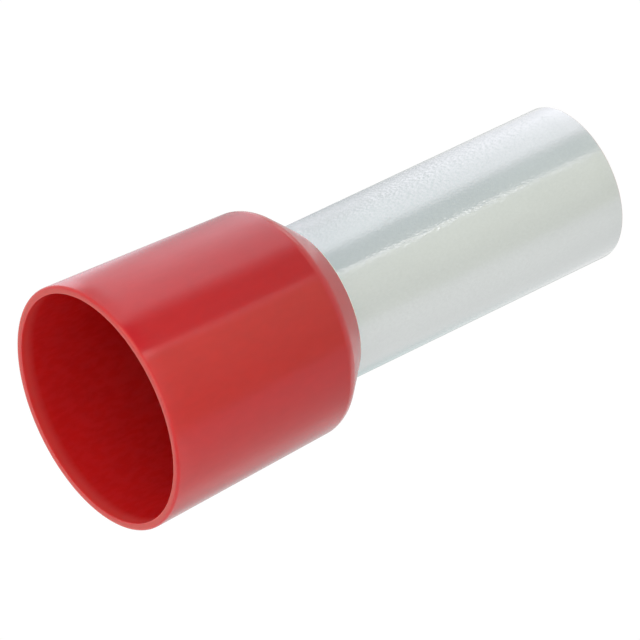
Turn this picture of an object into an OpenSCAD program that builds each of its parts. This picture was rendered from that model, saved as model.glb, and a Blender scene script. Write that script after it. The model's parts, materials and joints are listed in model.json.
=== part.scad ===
// Insulated wire ferrule (bootlace ferrule) for a 35 mm2 stranded conductor.
// It stands on the sleeve's cut end, with the collar's mouth at the top:
// Z runs along the axis, and zero is the plane of the cut end.

/* [Metal sleeve] */
// Bore of the sleeve, which takes the stripped conductor
sleeve_bore = 8.3; // [7.4:0.05:9]
// Thickness of the sleeve's drawn wall
sleeve_wall = 0.2; // [0.15:0.01:0.35]
// Length of sleeve that stands clear of the collar
sleeve_reach = 18; // [8:0.05:30]

/* [Flared entry of the sleeve] */
// Length of the flare along its slope
flare_len = 0.95; // [0.7:0.05:1.1]
// Radius of the bend where the sleeve turns into its flare
flare_bend = 1.2; // [0.8:0.05:1.5]

/* [Collar, outside] */
// Outside diameter of the collar at its mouth
mouth_d = 13.5; // [13.1:0.05:16]
// Length of the collar from its mouth to its thin end
collar_len = 13.7; // [11:0.05:20]
// Moulding draft of the collar's side, in degrees
draft = 2.3; // [0:0.1:3]
// Angle between the shoulder and the axis, in degrees
shoulder_angle = 42.6; // [35:0.2:50]
// Radius of the edge between the side and the shoulder
shoulder_round = 0.9; // [0.2:0.05:1.4]
// Thickness of the collar's end where it stops on the sleeve
tail_wall = 0.2; // [0.1:0.01:0.35]

/* [Collar, inside] */
// Wall of the collar at its mouth
mouth_wall = 0.42; // [0.35:0.01:0.6]
// Wall of the collar at the bottom of its cup
cup_wall = 0.5; // [0.35:0.01:0.7]
// Wall of the shoulder under the sleeve's flare
shoulder_wall = 0.55; // [0.4:0.01:0.7]
// Radius of the corner between the cup and its funnel
cup_round = 0.6; // [0.2:0.05:1]
// Radius of the lip's outer edge
lip_round = 0.18; // [0.05:0.01:0.2]
// Radius of the lip's inner edge
lip_ease = 0.12; // [0.02:0.01:0.14]

/* [Hidden] */

$fn = 128;
arc_steps = 8;

sleeve_r = sleeve_bore / 2;
sleeve_outer_r = sleeve_r + sleeve_wall;
mouth_r = mouth_d / 2;
mouth_z = sleeve_reach + collar_len;

// Each section lies in the plane of [distance from the axis, height], and a
// slope is an angle from the axis.
function heading(slope) = [sin(slope), cos(slope)];

// A line moved square to itself, towards the axis
function inward(slope, distance) = [-cos(slope), sin(slope)] * distance;

// Where the line through p on one slope crosses the line through q on another
function crossing(p, p_slope, q, q_slope) =
    p + heading(p_slope) * cross(q - p, heading(q_slope))
        / cross(heading(p_slope), heading(q_slope));

// The point of a line through p that lies at a given distance from the axis
function at_radius(p, slope, r) = [r, p[1] + (r - p[0]) / tan(slope)];

// Corner b of the path a-b-c as an arc, from the side of a to the side of c
function arc_corner(a, b, c, radius) =
    let (
        to_a = (a - b) / norm(a - b),
        to_c = (c - b) / norm(c - b),
        half_angle = acos(to_a * to_c) / 2,
        middle = (to_a + to_c) / norm(to_a + to_c),
        centre = b + middle * radius / sin(half_angle),
        start = b + to_a * radius / tan(half_angle) - centre,
        turn = sign(cross(to_a, to_c)) * (2 * half_angle - 180)
    )
    [
        for (i = [0 : arc_steps])
            let (t = turn * i / arc_steps)
            centre + [start[0] * cos(t) - start[1] * sin(t), start[0] * sin(t) + start[1] * cos(t)]
    ];

// A closed section from corners that are each [point, radius]
function section(corners) =
    let (n = len(corners))
    [
        for (i = [0 : n - 1])
            let (
                before = corners[(i + n - 1) % n][0],
                here = corners[i][0],
                after = corners[(i + 1) % n][0],
                radius = corners[i][1]
            )
            each (radius > 0 ? arc_corner(before, here, after, radius) : [here])
    ];

// Outside of the collar: its thin end, its shoulder edge and its mouth
tail = [sleeve_outer_r + tail_wall, sleeve_reach];
mouth_outer = [mouth_r, mouth_z];
shoulder_edge = crossing(tail, shoulder_angle, mouth_outer, draft);

// Seat of the sleeve's flare, parallel to the shoulder
seat_corner = at_radius(tail + inward(shoulder_angle, shoulder_wall), shoulder_angle, sleeve_outer_r);
flare_tip = seat_corner + heading(shoulder_angle) * flare_len;

// Funnel, level with the inside of the flare, from the sleeve's bore to the cup
flare_rim = flare_tip + inward(shoulder_angle, sleeve_wall);
bore_corner = at_radius(flare_rim, shoulder_angle, sleeve_r);
mouth_inner = [mouth_r - mouth_wall, mouth_z];
cup_edge = [shoulder_edge[0] - cup_wall, shoulder_edge[1]];
cup_slope = atan2(mouth_inner[0] - cup_edge[0], mouth_inner[1] - cup_edge[1]);
cup_corner = crossing(flare_rim, shoulder_angle, mouth_inner, cup_slope);

// Moulded insulating collar: one piece, with a cup for the cable's insulation
// and a shoulder that holds the sleeve
module collar() {
    color("firebrick")
        rotate_extrude()
            polygon(section([
                [[sleeve_outer_r, sleeve_reach], 0],
                [tail, 0],
                [shoulder_edge, shoulder_round],
                [mouth_outer, lip_round],
                [mouth_inner, lip_ease],
                [cup_corner, cup_round],
                [flare_rim, 0],
                [flare_tip, 0],
                [seat_corner, flare_bend]
            ]));
}

// Tin-plated copper sleeve: one drawn tube, cut square at the bottom and
// flared at the top to rest in the collar's seat
module sleeve() {
    color("silver")
        rotate_extrude()
            polygon(section([
                [[sleeve_r, 0], 0],
                [[sleeve_outer_r, 0], 0],
                [seat_corner, flare_bend],
                [flare_tip, 0],
                [flare_rim, 0],
                [bore_corner, flare_bend + sleeve_wall]
            ]));
}

collar();
sleeve();
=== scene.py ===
"""Insulated wire ferrule for a 35 mm2 stranded conductor, with its finishes and its studio.

The ferrule stands on the cut end of its sleeve, with the collar's mouth at the top. Sizes are in
millimetres in the settings, and the sections are drawn in millimetres, as distance from the axis
and height, before the finished mesh is brought to metres.
"""

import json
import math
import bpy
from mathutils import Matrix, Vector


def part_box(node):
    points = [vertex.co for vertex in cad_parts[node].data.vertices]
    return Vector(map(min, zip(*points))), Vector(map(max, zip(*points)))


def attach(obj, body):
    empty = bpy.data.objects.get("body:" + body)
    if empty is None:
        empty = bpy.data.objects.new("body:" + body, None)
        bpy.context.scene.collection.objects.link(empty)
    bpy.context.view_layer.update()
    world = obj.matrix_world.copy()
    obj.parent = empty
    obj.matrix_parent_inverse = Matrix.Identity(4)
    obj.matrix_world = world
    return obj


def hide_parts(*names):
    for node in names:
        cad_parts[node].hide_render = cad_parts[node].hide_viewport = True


bl_info = {
    "name": "Insulated Wire Ferrule",
    "version": (1, 0, 0),
    "blender": (4, 5, 0),
    "location": "3D View > Sidebar > Ferrule",
    "description": "Builds an insulated wire ferrule with its moulded collar, tinned sleeve and studio",
    "category": "Object",
}

import bmesh
import bpy
from bpy.props import FloatProperty, FloatVectorProperty, IntProperty, PointerProperty
from bpy.types import Operator, Panel, PropertyGroup
from mathutils import Quaternion, Vector

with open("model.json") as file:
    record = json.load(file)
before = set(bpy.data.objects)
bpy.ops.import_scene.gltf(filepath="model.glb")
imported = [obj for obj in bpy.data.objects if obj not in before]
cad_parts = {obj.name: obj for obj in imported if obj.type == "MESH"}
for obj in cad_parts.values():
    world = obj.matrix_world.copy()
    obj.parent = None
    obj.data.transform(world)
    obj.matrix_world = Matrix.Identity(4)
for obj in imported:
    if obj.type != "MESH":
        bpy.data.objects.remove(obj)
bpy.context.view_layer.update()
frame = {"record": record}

MM = 0.001

# Steps round a corner of a section, and the radius in mm below which a few are enough
ROUND_STEPS = 16
FINE_STEPS = 8
FINE_RADIUS = 0.3

# Points of a section nearer than this, in mm, are one, and edges sharper than this are creases
MERGE_DISTANCE = 0.0001
CREASE_ANGLE = math.radians(25)


def mount_size(name, size):
    """A size of one of the record's mounts, in millimetres."""
    mount = next(m for m in frame["record"]["mounts"] if m["name"] == name)
    return mount["dims"][size]


def collar_top():
    """Height of the collar's mouth above the cut end, in millimetres."""
    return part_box("collar")[1].z / MM


def collar_foot():
    """Height at which the collar ends on the sleeve, in millimetres."""
    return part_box("collar")[0].z / MM


def collar_reach():
    """Radius of the collar at its mouth, in millimetres, kept inside the solid's own facets."""
    low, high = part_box("collar")
    return min(high.x, high.y, -low.x, -low.y) / MM


# ---------------------------------------------------------------- settings


class FerruleSizes(PropertyGroup):
    """Sizes of the two sections"""

    draft: FloatProperty(
        name="Draft",
        description="Angle of the collar's side to the axis, for release from the mould",
        default=math.radians(2.3),
        subtype="ANGLE",
    )
    shoulder_angle: FloatProperty(
        name="Shoulder angle",
        description="Angle of the collar's shoulder to the axis",
        default=math.radians(42.6),
        subtype="ANGLE",
    )
    shoulder_round: FloatProperty(
        name="Shoulder edge",
        description="Radius of the edge between the collar's side and its shoulder, in mm",
        default=0.9,
        min=0.05,
    )
    mouth_wall: FloatProperty(
        name="Mouth wall",
        description="Thickness of the collar at its mouth, in mm",
        default=0.42,
        min=0.2,
    )
    cup_wall: FloatProperty(
        name="Cup wall",
        description="Thickness of the collar at the bottom of its cup, in mm",
        default=0.5,
        min=0.2,
    )
    shoulder_wall: FloatProperty(
        name="Shoulder wall",
        description="Thickness of the shoulder under the sleeve's flare, in mm",
        default=0.55,
        min=0.2,
    )
    tail_wall: FloatProperty(
        name="Thin end",
        description="Thickness of the collar where it ends on the sleeve, in mm",
        default=0.2,
        min=0.05,
    )
    lip_round: FloatProperty(
        name="Outer lip",
        description="Radius of the mouth's outer edge, in mm",
        default=0.14,
        min=0.01,
    )
    lip_ease: FloatProperty(
        name="Inner lip",
        description="Radius of the mouth's inner edge, in mm",
        default=0.05,
        min=0.01,
    )
    cup_round: FloatProperty(
        name="Cup corner",
        description="Radius between the cup and its funnel, in mm",
        default=0.6,
        min=0.05,
    )
    flare_length: FloatProperty(
        name="Flare length",
        description="Length of the sleeve's flare along its slope, in mm",
        default=0.95,
        min=0.1,
    )
    flare_bend: FloatProperty(
        name="Flare bend",
        description="Radius of the bend between the sleeve and its flare, in mm",
        default=1.2,
        min=0.1,
    )
    cut_edge: FloatProperty(
        name="Cut edge",
        description="Radius left on the edges of the sleeve's cut end, in mm",
        default=0.045,
        min=0.005,
    )
    turns: IntProperty(
        name="Steps round",
        description="Number of steps round the axis",
        default=256,
        min=32,
    )
    stretch: FloatProperty(
        name="Longest stretch",
        description="Longest piece of a section's straight lines, in mm",
        default=1.0,
        min=0.1,
    )


class FerruleFinish(PropertyGroup):
    """Colours and gloss of the two finishes"""

    collar_colour: FloatVectorProperty(
        name="Collar",
        description="Colour of the moulded plastic",
        default=(0.51, 0.0105, 0.0115),
        subtype="COLOR",
        min=0,
        max=1,
    )
    # Painted glow: a lighter red painted on the cup's wall just below the mouth, standing in for the
    # light that comes through the lip
    painted_lip_glow: FloatVectorProperty(
        name="Lip",
        description="Colour of the plastic at its thin lip, where light comes through",
        default=(0.62, 0.07, 0.065),
        subtype="COLOR",
        min=0,
        max=1,
    )
    cup_colour: FloatVectorProperty(
        name="Cup",
        description="Colour of the fine streaks that the mould's core leaves in the cup",
        default=(0.72, 0.045, 0.06),
        subtype="COLOR",
        min=0,
        max=1,
    )
    # Painted light: the pale line of light where the collar's thin end meets the sleeve
    painted_foot_light: FloatVectorProperty(
        name="Thin end",
        description="Colour of the plastic where it thins out to nothing on the sleeve",
        default=(1.0, 0.88, 0.78),
        subtype="COLOR",
        min=0,
        max=1,
    )
    collar_roughness: FloatProperty(
        name="Collar roughness",
        description="How far the plastic's gloss is spread",
        default=0.16,
        min=0,
        max=1,
        subtype="FACTOR",
    )
    collar_depth: FloatProperty(
        name="Light depth",
        description="How far light wanders in the plastic, in mm",
        default=0.7,
        min=0,
    )
    tin_colour: FloatVectorProperty(
        name="Tin",
        description="Colour of the sleeve's tin plating",
        default=(0.595, 0.618, 0.614),
        subtype="COLOR",
        min=0,
        max=1,
    )
    tin_roughness: FloatProperty(
        name="Tin roughness",
        description="How far the matt crystals of the plating spread the light",
        default=0.68,
        min=0,
        max=1,
        subtype="FACTOR",
    )
    tin_gloss: FloatProperty(
        name="Tin gloss",
        description="Roughness of the burnished skin over the crystals",
        default=0.09,
        min=0,
        max=1,
        subtype="FACTOR",
    )
    copper_colour: FloatVectorProperty(
        name="Copper",
        description="Colour of the bare metal along the cut",
        default=(0.5, 0.36, 0.29),
        subtype="COLOR",
        min=0,
        max=1,
    )


class FerruleStudio(PropertyGroup):
    """Camera and light"""

    aim: FloatVectorProperty(
        name="Aim",
        description="Point in the middle of the view",
        default=(-0.8268 * MM, 0.7261 * MM, 17.0781 * MM),
        subtype="TRANSLATION",
        unit="LENGTH",
        precision=6,
    )
    elevation: FloatProperty(
        name="Elevation",
        description="Height of the camera above the level of its aim",
        default=math.radians(30.5938),
        subtype="ANGLE",
    )
    roll: FloatProperty(
        name="Roll",
        description="Turn of the camera about its own line of sight",
        default=math.radians(-115.6141),
        subtype="ANGLE",
    )
    distance: FloatProperty(
        name="Distance",
        description="Distance from the camera to its aim",
        default=363.2015 * MM,
        unit="LENGTH",
        precision=4,
    )
    lens: FloatProperty(
        name="Lens",
        description="Focal length, in mm",
        default=392.901,
        min=1,
    )
    key_power: FloatProperty(
        name="Key lamp",
        description="Power of the large soft lamp at the camera's side, in W",
        default=0.17,
        min=0,
        unit="POWER",
    )
    top_power: FloatProperty(
        name="Top lamp",
        description="Power of the soft lamp over the mouth, in W",
        default=0.02,
        min=0,
        unit="POWER",
    )
    fill: FloatProperty(
        name="Fill",
        description="Even light from all round",
        default=0.84,
        min=0,
    )


# ---------------------------------------------------------------- sections


def heading(slope):
    """Direction of a line of the section at an angle to the axis."""
    return Vector((math.sin(slope), math.cos(slope)))


def inward(slope, distance):
    """A step square to a line of the section, towards the axis."""
    return Vector((-math.cos(slope), math.sin(slope))) * distance


def crossing(p, p_slope, q, q_slope):
    """Where two sloping lines of the section meet."""
    along = heading(p_slope)
    across = heading(q_slope)
    return p + along * ((q - p).cross(across) / along.cross(across))


def at_radius(p, slope, radius):
    """The point of a sloping line that lies at a distance from the axis."""
    return Vector((radius, p.y + (radius - p.x) / math.tan(slope)))


class Section:
    """The corners that the collar and the sleeve share, from the frame and the settings."""

    def __init__(self, sizes):
        self.bore = mount_size("conductor_bore", "r_mm")
        self.barrel = mount_size("crimp_barrel", "r_mm")
        wall = self.barrel - self.bore
        slope = sizes.shoulder_angle
        self.tail = Vector((self.barrel + sizes.tail_wall, collar_foot()))
        self.mouth_outer = Vector((collar_reach(), collar_top()))
        self.mouth_inner = Vector((collar_reach() - sizes.mouth_wall, collar_top()))
        self.shoulder_edge = crossing(self.tail, slope, self.mouth_outer, sizes.draft)
        seat = self.tail + inward(slope, sizes.shoulder_wall)
        self.seat_corner = at_radius(seat, slope, self.barrel)
        self.flare_tip = self.seat_corner + heading(slope) * sizes.flare_length
        self.flare_rim = self.flare_tip + inward(slope, wall)
        self.bore_corner = at_radius(self.flare_rim, slope, self.bore)
        cup_edge = self.shoulder_edge - Vector((sizes.cup_wall, 0))
        rise = self.mouth_inner - cup_edge
        cup_slope = math.atan2(rise.x, rise.y)
        self.cup_corner = crossing(self.flare_rim, slope, self.mouth_inner, cup_slope)
        self.wall = wall


def round_corner(section, corner, radius):
    """Rounds one corner of a section drawn as a face."""
    arms = [edge.other_vert(corner).co - corner.co for edge in corner.link_edges]
    half = arms[0].angle(arms[1]) / 2
    bmesh.ops.bevel(
        section,
        geom=[corner],
        offset=radius / math.tan(half),
        offset_type="OFFSET",
        segments=FINE_STEPS if radius < FINE_RADIUS else ROUND_STEPS,
        profile=0.5,
        affect="VERTICES",
        material=-1,
    )


def turned_piece(name, corners, sizes):
    """A piece turned round the axis from the corners of its section, each with its radius."""
    turned = bmesh.new()
    points = [turned.verts.new((place.x, 0, place.y)) for place, _ in corners]
    turned.faces.new(points)
    for point, (_, radius) in zip(points, corners):
        if radius > 0:
            round_corner(turned, point, radius)
    bmesh.ops.delete(turned, geom=turned.faces[:], context="FACES_ONLY")
    for edge in turned.edges[:]:
        cuts = int(edge.calc_length() / sizes.stretch)
        if cuts:
            bmesh.ops.subdivide_edges(turned, edges=[edge], cuts=cuts)
    bmesh.ops.spin(
        turned,
        geom=turned.verts[:] + turned.edges[:],
        cent=(0, 0, 0),
        axis=(0, 0, 1),
        angle=math.tau,
        steps=sizes.turns,
        use_merge=True,
    )
    bmesh.ops.remove_doubles(turned, verts=turned.verts, dist=MERGE_DISTANCE)
    bmesh.ops.recalc_face_normals(turned, faces=turned.faces)
    for edge in turned.edges:
        edge.smooth = edge.calc_face_angle(0) < CREASE_ANGLE
    for face in turned.faces:
        face.smooth = True
    bmesh.ops.scale(turned, vec=(MM, MM, MM), verts=turned.verts)
    mesh = bpy.data.meshes.new(name)
    turned.to_mesh(mesh)
    turned.free()
    piece = bpy.data.objects.new(name, mesh)
    bpy.context.scene.collection.objects.link(piece)
    return piece


# ---------------------------------------------------------------- finishes

# A Mix node's two colours and its mixed colour, which share their names with other sockets
MIX_COLOURS = slice(6, 8)
MIX_RESULT = 2

# Shares of the collar's red that its clouds run between, at the foot and at the mouth: painted light,
# darker at the foot and lighter at the mouth
FOOT_SHADE_REDS = (0.87, 0.94)
MOUTH_LIGHT_REDS = (1.04, 1.13)
# Where these looks set in, in mm: the cup and the painted pale line of light above the collar's foot,
# the painted glow just below the mouth, and the inside of the cup from the cup's own radius
CUP_START = (1.6, 2.0)
PAINTED_FOOT_LINE = (0.07, 0.12)
PAINTED_LIP_GLOW = (0.8, 0.35)
CUP_EDGE = (-0.02, 0.06)
# The strongest of the cup's streaks, and how far the grain moves the plastic's roughness
STREAK_SHARE = 0.16
PLASTIC_PLAY = 0.05
# How far light wanders in the plastic in red, green and blue, as shares of the light depth
LIGHT_REACH = (1.0, 0.08, 0.06)

# Shares of the tin's colour that its clouds run between, and its tint at a glancing angle
TIN_CLOUDS = (0.98, 1.02)
TIN_EDGE_TINT = (0.32, 0.36, 0.38, 1)
# Index of the burnished skin, and how far the grain moves the tin's roughness
SKIN_IOR = 2.1
TIN_PLAY = 0.12
# Height in mm at which the bare copper of the cut gives way to tin, and how ragged the line is
BARE_CUT = (0.035, 0.07)
CUT_RAG = 0.03


def new_finish(name):
    """A new material with its shader, and the links between its nodes."""
    finish = bpy.data.materials.new(name)
    finish.use_nodes = True
    return finish, finish.node_tree, finish.node_tree.nodes["Principled BSDF"]


def pattern_place(tree, scale):
    """Object coordinates, counted in the given number of units to a metre."""
    coordinates = tree.nodes.new("ShaderNodeTexCoord")
    mapping = tree.nodes.new("ShaderNodeMapping")
    mapping.inputs["Scale"].default_value = scale
    tree.links.new(coordinates.outputs["Object"], mapping.inputs["Vector"])
    return mapping.outputs["Vector"]


def noise(tree, scale, detail=2.0, roughness=0.5):
    """Noise with its grain given per metre along each axis."""
    texture = tree.nodes.new("ShaderNodeTexNoise")
    texture.inputs["Scale"].default_value = 1
    texture.inputs["Detail"].default_value = detail
    texture.inputs["Roughness"].default_value = roughness
    tree.links.new(pattern_place(tree, scale), texture.inputs["Vector"])
    return texture.outputs["Fac"]


def spread(tree, value, low, high, to_low, to_high):
    """Carries a value from one range to another, held at both ends."""
    node = tree.nodes.new("ShaderNodeMapRange")
    node.inputs["From Min"].default_value = low
    node.inputs["From Max"].default_value = high
    node.inputs["To Min"].default_value = to_low
    node.inputs["To Max"].default_value = to_high
    tree.links.new(value, node.inputs["Value"])
    return node.outputs["Result"]


def arithmetic(tree, operation, *values):
    """One sum on sockets or numbers."""
    node = tree.nodes.new("ShaderNodeMath")
    node.operation = operation
    for value, socket in zip(values, node.inputs):
        if isinstance(value, (int, float)):
            socket.default_value = value
        else:
            tree.links.new(value, socket)
    return node.outputs[0]


def blended(tree, share, first, second):
    """Two colours mixed by a share, each a socket or a colour."""
    node = tree.nodes.new("ShaderNodeMix")
    node.data_type = "RGBA"
    tree.links.new(share, node.inputs["Factor"])
    for colour, socket in zip((first, second), node.inputs[MIX_COLOURS]):
        if hasattr(colour, "is_linked"):
            tree.links.new(colour, socket)
        else:
            socket.default_value = (*colour, 1)
    return node.outputs[MIX_RESULT]


def bump(tree, height, strength, distance, under=None):
    """Raises a height pattern on the surface."""
    node = tree.nodes.new("ShaderNodeBump")
    node.inputs["Strength"].default_value = strength
    node.inputs["Distance"].default_value = distance
    tree.links.new(height, node.inputs["Height"])
    if under:
        tree.links.new(under, node.inputs["Normal"])
    return node.outputs["Normal"]


def axis_height(tree):
    """Height along the ferrule's axis, in metres."""
    coordinates = tree.nodes.new("ShaderNodeTexCoord")
    parts = tree.nodes.new("ShaderNodeSeparateXYZ")
    tree.links.new(coordinates.outputs["Object"], parts.inputs["Vector"])
    return parts.outputs["Z"]


def axis_distance(tree):
    """Distance from the ferrule's axis, in metres."""
    reach = tree.nodes.new("ShaderNodeVectorMath")
    reach.operation = "LENGTH"
    tree.links.new(pattern_place(tree, (1, 1, 0)), reach.inputs[0])
    return reach.outputs["Value"]


def clouds(tree, scale):
    """Soft clouds, from 0 to 1."""
    return spread(tree, noise(tree, scale, 3), 0.3, 0.7, 0, 1)


def shades_of(colour, shares):
    """Shades of one colour."""
    return [Vector(colour) * share for share in shares]


def above_foot(tree, height, steps, to_low, to_high):
    """A share that changes between two heights, in mm above the collar's foot."""
    low, high = ((collar_foot() + step) * MM for step in steps)
    return spread(tree, height, low, high, to_low, to_high)


def moulded_red(tree, look, height):
    """The collar's red: cloudy and mottled, with painted light that makes it darker at the foot and
    lighter at the mouth.
    """
    cloud = clouds(tree, (350, 350, 350))
    mottle = spread(tree, noise(tree, (3000, 3000, 1300), 2), 0.35, 0.65, 0, 1)
    half_mottle = arithmetic(tree, "MULTIPLY", mottle, 0.5)
    patch = arithmetic(tree, "MULTIPLY_ADD", cloud, 0.5, half_mottle)
    shaded_foot = blended(tree, patch, *shades_of(look.collar_colour, FOOT_SHADE_REDS))
    lit_mouth = blended(tree, patch, *shades_of(look.collar_colour, MOUTH_LIGHT_REDS))
    # Painted light: the red grows lighter from the foot up to the mouth
    rise = spread(tree, height, collar_foot() * MM, collar_top() * MM, 0, 1)
    return blended(tree, rise, shaded_foot, lit_mouth)


def cup_inside(tree, height, lip, draft):
    """A share that is 1 in the cup and 0 on the outside of the collar."""
    taper = math.tan(draft)
    narrowing = arithmetic(tree, "MULTIPLY_ADD", height, -taper, collar_top() * MM * taper)
    upright = arithmetic(tree, "ADD", axis_distance(tree), narrowing)
    low, high = ((lip + step) * MM for step in CUP_EDGE)
    within = spread(tree, upright, low, high, 1, 0)
    above = above_foot(tree, height, CUP_START, 0, 1)
    return arithmetic(tree, "MULTIPLY", within, above)


def moulded_relief(tree, grain):
    """Slow waves from shrinking, the mould's fine turning lines and the grain."""
    waves = noise(tree, (260, 260, 180), 2)
    turning_lines = noise(tree, (30, 30, 7000), 2, 0.6)
    raised = bump(tree, waves, 1.0, 0.016 * MM)
    raised = bump(tree, turning_lines, 0.3, 0.0002 * MM, raised)
    return bump(tree, grain, 0.4, 0.0005 * MM, raised)


def moulded_plastic(look, lip, draft):
    """Glossy moulded plastic: a deep red that light enters a little way, with painted light that makes
    it lighter towards the mouth, a painted glow just inside the lip and a painted pale line of light at
    the thin end.

    The lip is the radius of the cup at the mouth, in millimetres, and the draft is its slope."""
    finish, tree, shader = new_finish("Moulded plastic")
    height = axis_height(tree)
    inside = cup_inside(tree, height, lip, draft)
    streak = spread(tree, noise(tree, (3600, 3600, 1700), 2), 0.4, 0.6, 0, STREAK_SHARE)
    in_cup = arithmetic(tree, "MULTIPLY", streak, inside)
    worn = blended(tree, in_cup, moulded_red(tree, look, height), look.cup_colour)
    # Painted glow: the cup's wall is painted a lighter red just below the mouth
    low, high = ((collar_top() - step) * MM for step in PAINTED_LIP_GLOW)
    glow = arithmetic(tree, "MULTIPLY", spread(tree, height, low, high, 0, 1), inside)
    lipped = blended(tree, glow, worn, look.painted_lip_glow)
    # Painted light: a pale line of light painted at the thin end, just above the collar's foot
    foot = above_foot(tree, height, PAINTED_FOOT_LINE, 1, 0)
    tree.links.new(blended(tree, foot, lipped, look.painted_foot_light), shader.inputs["Base Color"])
    grain = noise(tree, (9000, 9000, 9000), 2, 0.6)
    least = look.collar_roughness - PLASTIC_PLAY / 2
    gloss = arithmetic(tree, "MULTIPLY_ADD", grain, PLASTIC_PLAY, least)
    tree.links.new(gloss, shader.inputs["Roughness"])
    tree.links.new(moulded_relief(tree, grain), shader.inputs["Normal"])
    shader.inputs["IOR"].default_value = 1.49
    shader.inputs["Subsurface Weight"].default_value = 1.0
    shader.inputs["Subsurface Radius"].default_value = LIGHT_REACH
    shader.inputs["Subsurface Scale"].default_value = look.collar_depth * MM
    return finish


def tin_plating(look):
    """Satin tin plating under a burnished skin, with the bare copper along the cut."""
    finish, tree, shader = new_finish("Tin plating")
    cloud = clouds(tree, (500, 500, 160))
    plated = blended(tree, cloud, *shades_of(look.tin_colour, TIN_CLOUDS))
    ragged = arithmetic(tree, "MULTIPLY", noise(tree, (1500, 1500, 1500), 3), CUT_RAG * MM)
    height = arithmetic(tree, "ADD", axis_height(tree), ragged)
    bare = spread(tree, height, BARE_CUT[0] * MM, BARE_CUT[1] * MM, 1, 0)
    colour = blended(tree, bare, plated, look.copper_colour)
    tree.links.new(colour, shader.inputs["Base Color"])
    shader.inputs["Metallic"].default_value = 1.0
    shader.inputs["Specular Tint"].default_value = TIN_EDGE_TINT
    shader.inputs["Coat Weight"].default_value = 1.0
    shader.inputs["Coat Roughness"].default_value = look.tin_gloss
    shader.inputs["Coat IOR"].default_value = SKIN_IOR
    grain = noise(tree, (8500, 8500, 5000), 1)
    least = look.tin_roughness - TIN_PLAY / 2
    rough = arithmetic(tree, "MULTIPLY_ADD", grain, TIN_PLAY, least)
    tree.links.new(rough, shader.inputs["Roughness"])
    drawn = noise(tree, (5000, 5000, 60), 2, 0.6)
    lines = bump(tree, drawn, 0.4, 0.001 * MM)
    tree.links.new(lines, shader.inputs["Normal"])
    crystals = noise(tree, (4500, 4500, 2500), 1)
    skin = bump(tree, grain, 1.0, 0.009 * MM, lines)
    skin = bump(tree, crystals, 1.0, 0.003 * MM, skin)
    tree.links.new(skin, shader.inputs["Coat Normal"])
    return finish


# ---------------------------------------------------------------- pieces

# Radii in mm of the thin end's inner and outer edges, and of the flare's edges
TAIL_EASE = 0.02
TAIL_ROUND = 0.06
FLARE_EASE = 0.04


class FERRULE_OT_make_collar(Operator):
    """Build the moulded collar with its cup, funnel and shoulder"""

    bl_idname = "ferrule.make_collar"
    bl_label = "Make Collar"

    def execute(self, context):
        sizes = context.scene.ferrule_sizes
        lines = Section(sizes)
        corners = [
            (Vector((lines.barrel, lines.tail.y)), TAIL_EASE),
            (lines.tail, TAIL_ROUND),
            (lines.shoulder_edge, sizes.shoulder_round),
            (lines.mouth_outer, sizes.lip_round),
            (lines.mouth_inner, sizes.lip_ease),
            (lines.cup_corner, sizes.cup_round),
            (lines.flare_rim, 0),
            (lines.flare_tip, 0),
            (lines.seat_corner, sizes.flare_bend),
        ]
        collar = turned_piece("moulded_collar", corners, sizes)
        look = context.scene.ferrule_finish
        plastic = moulded_plastic(look, lines.mouth_inner.x, sizes.draft)
        collar.data.materials.append(plastic)
        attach(collar, "root")
        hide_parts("collar")
        return {"FINISHED"}


class FERRULE_OT_make_sleeve(Operator):
    """Build the drawn and flared sleeve"""

    bl_idname = "ferrule.make_sleeve"
    bl_label = "Make Sleeve"

    def execute(self, context):
        sizes = context.scene.ferrule_sizes
        lines = Section(sizes)
        corners = [
            (Vector((lines.bore, 0)), sizes.cut_edge),
            (Vector((lines.barrel, 0)), sizes.cut_edge),
            (lines.seat_corner, sizes.flare_bend),
            (lines.flare_tip, FLARE_EASE),
            (lines.flare_rim, FLARE_EASE),
            (lines.bore_corner, sizes.flare_bend + lines.wall),
        ]
        sleeve = turned_piece("tinned_sleeve", corners, sizes)
        sleeve.data.materials.append(tin_plating(context.scene.ferrule_finish))
        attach(sleeve, "root")
        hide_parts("sleeve")
        return {"FINISHED"}


# ---------------------------------------------------------------- stage


# The floor's half width in metres, its gap under the cut in mm, its brightness to the camera,
# and the share of that brightness that hides the paper's own shading
FLOOR_REACH = 1.5
FLOOR_GAP = 0.02
FLOOR_GLOW = 1.03
FLOOR_SHARE = 0.93


def paper_floor():
    """The pale floor that the ferrule stands on, white to the camera but for the shadow."""
    sheet = bmesh.new()
    bmesh.ops.create_grid(sheet, x_segments=1, y_segments=1, size=FLOOR_REACH)
    bmesh.ops.translate(sheet, vec=(0, 0, -FLOOR_GAP * MM), verts=sheet.verts)
    mesh = bpy.data.meshes.new("paper_floor")
    sheet.to_mesh(mesh)
    sheet.free()
    floor = bpy.data.objects.new("paper_floor", mesh)
    bpy.context.scene.collection.objects.link(floor)
    paper = bpy.data.materials.new("White paper")
    paper.use_nodes = True
    tree = paper.node_tree
    shader = tree.nodes["Principled BSDF"]
    shader.inputs["Base Color"].default_value = (0.9, 0.9, 0.9, 1)
    shader.inputs["Roughness"].default_value = 0.9
    glow = tree.nodes.new("ShaderNodeEmission")
    glow.inputs["Strength"].default_value = FLOOR_GLOW
    path = tree.nodes.new("ShaderNodeLightPath")
    seen = arithmetic(tree, "MULTIPLY", path.outputs["Is Camera Ray"], FLOOR_SHARE)
    mix = tree.nodes.new("ShaderNodeMixShader")
    tree.links.new(seen, mix.inputs[0])
    tree.links.new(shader.outputs[0], mix.inputs[1])
    tree.links.new(glow.outputs[0], mix.inputs[2])
    tree.links.new(mix.outputs[0], tree.nodes["Material Output"].inputs["Surface"])
    mesh.materials.append(paper)
    floor.visible_glossy = False


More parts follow.
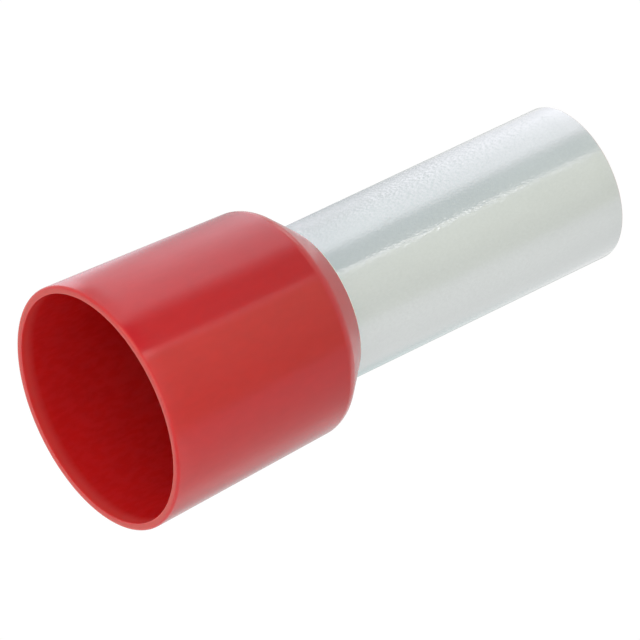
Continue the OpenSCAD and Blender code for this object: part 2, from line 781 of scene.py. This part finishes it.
# Tints of the tent's cloth
PLAIN = Vector((1.0, 1.0, 1.0))
COOL = Vector((1.02, 1.0, 1.09))
LEAF = Vector((1.0, 1.03, 0.8))
SAGE = Vector((0.98, 1.03, 0.9))
MIST = Vector((0.82, 1.0, 1.0))
HAZE = Vector((0.88, 1.0, 1.07))
TEAL = Vector((0.75, 1.0, 1.0))
DEEP = Vector((0.3, 0.95, 1.4))
WARM = Vector((1.05, 1.0, 0.85))

# The tent's two rows of panels round the axis: degrees from the camera's side, level and tint
LOWER_ROW = (
    (-180, 0.75, PLAIN),
    (-160, 1.15, PLAIN),
    (-140, 1.05, PLAIN),
    (-108, 0.92, PLAIN),
    (-64, 0.97, PLAIN),
    (-54, 0.95, PLAIN),
    (-47, 0.76, LEAF),
    (-32, 0.78, LEAF),
    (-12, 0.92, LEAF),
    (8, 1.05, LEAF),
    (21, 1.1, LEAF),
    (23, 1.35, PLAIN),
    (25, 1.35, PLAIN),
    (28, 0.55, TEAL),
    (53, 0.55, TEAL),
    (60, 0.85, COOL),
    (72, 1.85, COOL),
    (120, 2.2, COOL),
    (134, 1.7, COOL),
    (146, 1.3, COOL),
    (158, 1.1, PLAIN),
    (168, 1.0, PLAIN),
    (180, 1.0, PLAIN),
)
UPPER_ROW = (
    (-180, 0.9, PLAIN),
    (-166, 0.9, MIST),
    (-146, 0.8, MIST),
    (-122, 1.1, PLAIN),
    (-72, 1.33, PLAIN),
    (-60, 1.33, PLAIN),
    (-50, 1.0, SAGE),
    (-36, 0.93, SAGE),
    (-22, 1.12, SAGE),
    (6, 1.25, SAGE),
    (21, 1.3, SAGE),
    (23, 4, PLAIN),
    (25, 4, PLAIN),
    (27, 0.27, DEEP),
    (54, 0.27, DEEP),
    (63, 1.6, HAZE),
    (92, 1.15, HAZE),
    (120, 0.5, HAZE),
    (140, 0.4, HAZE),
    (158, 0.45, HAZE),
    (168, 0.55, HAZE),
    (180, 0.8, PLAIN),
)
# Round panels of the tent: direction, half width in degrees, level and tint
ROUND_PANELS = (
    ((0, -0.1, -1), 30, 1.05, PLAIN),
    ((0.6, 0.15, -0.79), 10, 2.0, PLAIN),
    ((-0.6, 0.15, -0.79), 10, 1.5, PLAIN),
    ((0, 0.76, -0.64), 14, 0.68, PLAIN),
    ((0, 0.97, 0.22), 17, 1.35, WARM),
    ((0.2, -0.2, 0.95), 32, 2.6, WARM),
)
# Soft edge of a round panel, as shares of its half width
PANEL_EDGE = (1.25, 0.75)
# The brightest level that the tent's colours can reach, and the level of its plain cloth
TENT_STRENGTH = 8
PLAIN_LEVEL = 1.08

# Heights on the tent, as the upward share of a direction: where the two rows meet, their middle
# and how far they reach from it, and where the corner panel starts above them
ROWS_MEET = (-0.538, -0.512)
ROWS_MIDDLE = -0.51
ROWS_REACH = (0.11, 0.17)
CORNER_FOOT = (-0.513, -0.503)
# The corner panel's two edges in degrees, the share of it left past the second, and its level
CORNER_START = (108, 129.6)
CORNER_END = (140.4, 169.2)
CORNER_REST = 0.3
CORNER_LEVEL = 1.8


def tent_level(level, tint=PLAIN):
    """A level of the tent as a colour."""
    return tint * (level / TENT_STRENGTH)


def share_of_turn(angle):
    """An angle from the camera's side, in degrees, as a share of the turn round the axis."""
    return angle / 360 + 0.5


def panel_row(tree, turn, row):
    """One row of panels, from the camera's far side round to it again."""
    panels = tree.nodes.new("ShaderNodeValToRGB")
    panels.color_ramp.interpolation = "EASE"
    tree.links.new(turn, panels.inputs[0])
    stops = panels.color_ramp.elements
    for angle, level, tint in row[1:-1]:
        stops.new(share_of_turn(angle)).color = (*tent_level(level, tint), 1)
    stops[0].color = (*tent_level(*row[0][1:]), 1)
    stops[-1].color = (*tent_level(*row[-1][1:]), 1)
    return panels.outputs["Color"]


def corner_share(tree, turn, height):
    """The corner panel's share: beside the rows' end, above where they meet."""
    start = spread(tree, turn, *map(share_of_turn, CORNER_START), 0, 1)
    end = spread(tree, turn, *map(share_of_turn, CORNER_END), 1, CORNER_REST)
    side = arithmetic(tree, "MULTIPLY", start, end)
    return arithmetic(tree, "MULTIPLY", side, spread(tree, height, *CORNER_FOOT, 0, 1))


def tent_rows(tree, turn, height):
    """The two rows of panels and the corner panel, with plain cloth above and below."""
    upper_share = spread(tree, height, *ROWS_MEET, 0, 1)
    lower = panel_row(tree, turn, LOWER_ROW)
    upper = panel_row(tree, turn, UPPER_ROW)
    rows = blended(tree, upper_share, lower, upper)
    corner = corner_share(tree, turn, height)
    rows = blended(tree, corner, rows, tent_level(CORNER_LEVEL, COOL))
    off_middle = arithmetic(tree, "ABSOLUTE", arithmetic(tree, "SUBTRACT", height, ROWS_MIDDLE))
    beside = spread(tree, off_middle, *ROWS_REACH, 0, 1)
    return blended(tree, beside, rows, tent_level(PLAIN_LEVEL))


def round_panel(tree, ray, towards, half_width, colour, under):
    """A round panel of the tent, with a soft edge, in front of what lies behind it."""
    facing = tree.nodes.new("ShaderNodeVectorMath")
    facing.operation = "DOT_PRODUCT"
    facing.inputs[1].default_value = Vector(towards).normalized()
    tree.links.new(ray, facing.inputs[0])
    outside, inside = (math.cos(math.radians(half_width * edge)) for edge in PANEL_EDGE)
    share = spread(tree, facing.outputs["Value"], outside, inside, 0, 1)
    return blended(tree, share, under, colour)


def tent_gloss(tree):
    """What gloss sees of the tent: rows of panels round its lower half, and the round panels."""
    coordinates = tree.nodes.new("ShaderNodeTexCoord")
    ray = coordinates.outputs["Generated"]
    parts = tree.nodes.new("ShaderNodeSeparateXYZ")
    tree.links.new(ray, parts.inputs[0])
    to_camera = arithmetic(tree, "MULTIPLY", parts.outputs["Y"], -1)
    azimuth = arithmetic(tree, "ARCTAN2", parts.outputs["X"], to_camera)
    turn = spread(tree, azimuth, -math.pi, math.pi, 0, 1)
    seen = tent_rows(tree, turn, parts.outputs["Z"])
    for towards, half_width, level, tint in ROUND_PANELS:
        seen = round_panel(tree, ray, towards, half_width, tent_level(level, tint), seen)
    return seen


def even_light(tree, strength):
    """Plain white light of one strength from all round."""
    light = tree.nodes.new("ShaderNodeBackground")
    light.inputs["Color"].default_value = (1, 1, 1, 1)
    light.inputs["Strength"].default_value = strength
    return light


def tent_world(studio):
    """White all round to the camera, an even fill, and the tent's panels in the gloss."""
    world = bpy.data.worlds.new("Light tent")
    bpy.context.scene.world = world
    world.use_nodes = True
    world.cycles.sampling_method = "NONE"
    tree = world.node_tree
    tree.nodes.clear()
    mirrored = tree.nodes.new("ShaderNodeBackground")
    mirrored.inputs["Strength"].default_value = TENT_STRENGTH
    tree.links.new(tent_gloss(tree), mirrored.inputs["Color"])
    even = even_light(tree, studio.fill)
    white = even_light(tree, 1)
    path = tree.nodes.new("ShaderNodeLightPath")
    kinds = [path.outputs[kind] for kind in ("Is Glossy Ray", "Is Transmission Ray")]
    shiny = arithmetic(tree, "MAXIMUM", *kinds)
    in_gloss = tree.nodes.new("ShaderNodeMixShader")
    tree.links.new(shiny, in_gloss.inputs[0])
    tree.links.new(even.outputs[0], in_gloss.inputs[1])
    tree.links.new(mirrored.outputs[0], in_gloss.inputs[2])
    to_camera = tree.nodes.new("ShaderNodeMixShader")
    tree.links.new(path.outputs["Is Camera Ray"], to_camera.inputs[0])
    tree.links.new(in_gloss.outputs[0], to_camera.inputs[1])
    tree.links.new(white.outputs[0], to_camera.inputs[2])
    output = tree.nodes.new("ShaderNodeOutputWorld")
    tree.links.new(to_camera.outputs[0], output.inputs["Surface"])


# The lamps' directions from the ferrule, their distance and width in metres, and the width of
# the camera's sensor in mm
KEY_SIDE = (0.35, -0.8, 0.4)
TOP_SIDE = (-0.1, -0.25, 1.0)
LAMP_DISTANCE = 0.3
LAMP_WIDTH = 0.16
SENSOR_WIDTH = 36


def soft_lamp(name, towards, power, aim):
    """A large square lamp, facing the ferrule from the given direction."""
    lamp = bpy.data.lights.new(name, "AREA")
    lamp.shape = "SQUARE"
    lamp.size = LAMP_WIDTH
    lamp.energy = power
    stand = bpy.data.objects.new(name, lamp)
    bpy.context.scene.collection.objects.link(stand)
    back = Vector(towards).normalized()
    stand.location = aim + back * LAMP_DISTANCE
    stand.rotation_mode = "QUATERNION"
    stand.rotation_quaternion = back.to_track_quat("Z", "Y")
    stand.visible_glossy = False


class FERRULE_OT_make_stage(Operator):
    """Build the pale floor, the soft light and the camera"""

    bl_idname = "ferrule.make_stage"
    bl_label = "Make Stage"

    def execute(self, context):
        studio = context.scene.ferrule_studio
        paper_floor()
        tent_world(studio)
        aim = Vector(studio.aim)
        soft_lamp("key_lamp", KEY_SIDE, studio.key_power, aim)
        soft_lamp("top_lamp", TOP_SIDE, studio.top_power, aim)
        view = bpy.data.cameras.new("camera")
        view.lens = studio.lens
        view.sensor_width = SENSOR_WIDTH
        view.clip_start = 10 * MM
        camera = bpy.data.objects.new("camera", view)
        context.scene.collection.objects.link(camera)
        back = Vector((0, -math.cos(studio.elevation), math.sin(studio.elevation)))
        camera.location = aim + back * studio.distance
        camera.rotation_mode = "QUATERNION"
        rolled = Quaternion((0, 0, 1), studio.roll)
        camera.rotation_quaternion = back.to_track_quat("Z", "Y") @ rolled
        context.scene.camera = camera
        context.scene.view_settings.view_transform = "Standard"
        return {"FINISHED"}


class FERRULE_PT_panel(Panel):
    """The ferrule's settings and the steps that build it"""

    bl_idname = "FERRULE_PT_panel"
    bl_label = "Wire Ferrule"
    bl_space_type = "VIEW_3D"
    bl_region_type = "UI"
    bl_category = "Ferrule"

    def draw(self, context):
        layout = self.layout
        for label, group in (
            ("Sizes", context.scene.ferrule_sizes),
            ("Finish", context.scene.ferrule_finish),
            ("Studio", context.scene.ferrule_studio),
        ):
            box = layout.box()
            box.label(text=label)
            for name in group.__annotations__:
                box.prop(group, name)
        for step in STEPS:
            layout.operator(step.bl_idname)


STEPS = (
    FERRULE_OT_make_collar,
    FERRULE_OT_make_sleeve,
    FERRULE_OT_make_stage,
)
SETTINGS = (FerruleSizes, FerruleFinish, FerruleStudio)


def register():
    """Registers the settings, the steps and the panel."""
    for kind in (*SETTINGS, *STEPS, FERRULE_PT_panel):
        bpy.utils.register_class(kind)
    bpy.types.Scene.ferrule_sizes = PointerProperty(type=FerruleSizes)
    bpy.types.Scene.ferrule_finish = PointerProperty(type=FerruleFinish)
    bpy.types.Scene.ferrule_studio = PointerProperty(type=FerruleStudio)


def unregister():
    """Takes the settings, the steps and the panel away again."""
    del bpy.types.Scene.ferrule_studio
    del bpy.types.Scene.ferrule_finish
    del bpy.types.Scene.ferrule_sizes
    for kind in (FERRULE_PT_panel, *reversed(STEPS), *reversed(SETTINGS)):
        bpy.utils.unregister_class(kind)


def main():
    """Builds the ferrule and its stage."""
    register()
    bpy.ops.ferrule.make_collar()
    bpy.ops.ferrule.make_sleeve()
    bpy.ops.ferrule.make_stage()


if __name__ == "__main__":
    main()
